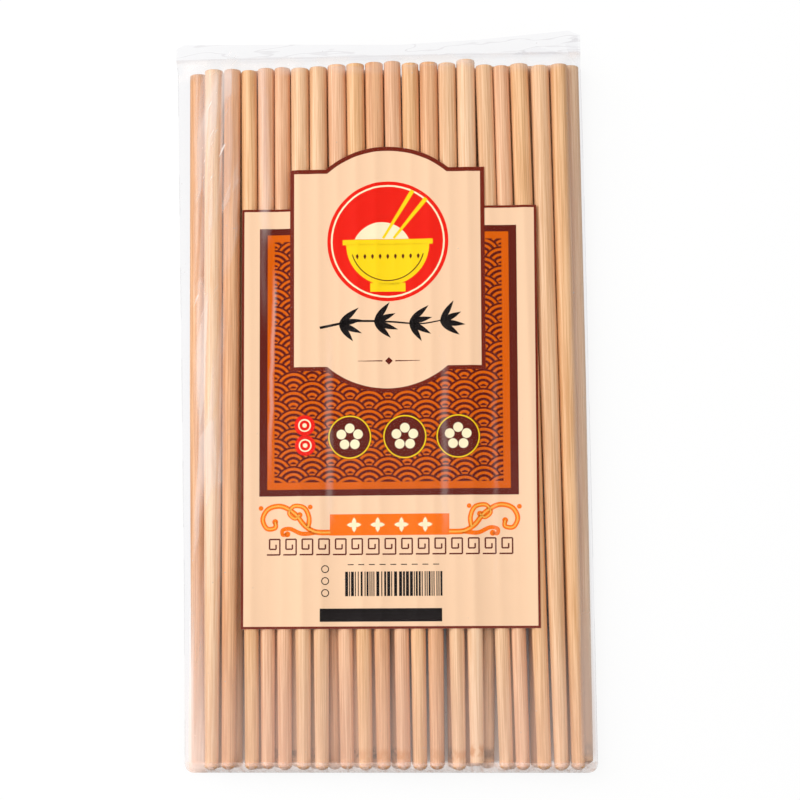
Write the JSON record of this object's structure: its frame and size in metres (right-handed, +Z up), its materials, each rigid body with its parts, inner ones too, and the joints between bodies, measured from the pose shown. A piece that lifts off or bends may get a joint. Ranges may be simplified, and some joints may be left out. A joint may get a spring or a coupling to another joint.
{
  "type": "pack of bamboo chopsticks",
  "caption": "Flat retail pack of round tapered bamboo chopsticks in two layers, in a clear film bag with a sealed flange and a printed card label over the front sticks.",
  "frame": {"origin": "under the middle of the pack's box, on the plane that it lies on", "axes": "+Y along the sticks towards their thick ends and the sealed flange, +Z up through the two layers to the label, +X across the pack to the right of the label"},
  "size_m": [0.1436, 0.2552, 0.0141],
  "materials": {
    "bamboo": "smooth turned bamboo, unvarnished",
    "film": "thin clear glossy film",
    "label": "printed paper, cream ground"
  },
  "bodies": {
    "root": {"front_chopstick_01": "bamboo", "front_chopstick_02": "bamboo", "front_chopstick_03": "bamboo", "front_chopstick_04": "bamboo", "front_chopstick_05": "bamboo", "front_chopstick_06": "bamboo", "front_chopstick_07": "bamboo", "front_chopstick_08": "bamboo", "front_chopstick_09": "bamboo", "front_chopstick_10": "bamboo", "front_chopstick_11": "bamboo", "front_chopstick_12": "bamboo", "front_chopstick_13": "bamboo", "front_chopstick_14": "bamboo", "front_chopstick_15": "bamboo", "front_chopstick_16": "bamboo", "front_chopstick_17": "bamboo", "front_chopstick_18": "bamboo", "front_chopstick_19": "bamboo", "front_chopstick_20": "bamboo", "back_chopstick_01": "bamboo", "back_chopstick_02": "bamboo", "back_chopstick_03": "bamboo", "back_chopstick_04": "bamboo", "back_chopstick_05": "bamboo", "back_chopstick_06": "bamboo", "back_chopstick_07": "bamboo", "back_chopstick_08": "bamboo", "back_chopstick_09": "bamboo", "back_chopstick_10": "bamboo", "back_chopstick_11": "bamboo", "back_chopstick_12": "bamboo", "back_chopstick_13": "bamboo", "back_chopstick_14": "bamboo", "back_chopstick_15": "bamboo", "back_chopstick_16": "bamboo", "back_chopstick_17": "bamboo", "back_chopstick_18": "bamboo", "back_chopstick_19": "bamboo", "back_chopstick_20": "bamboo", "film_bag": "film", "printed_label": "label"}
  },
  "joints": []
}
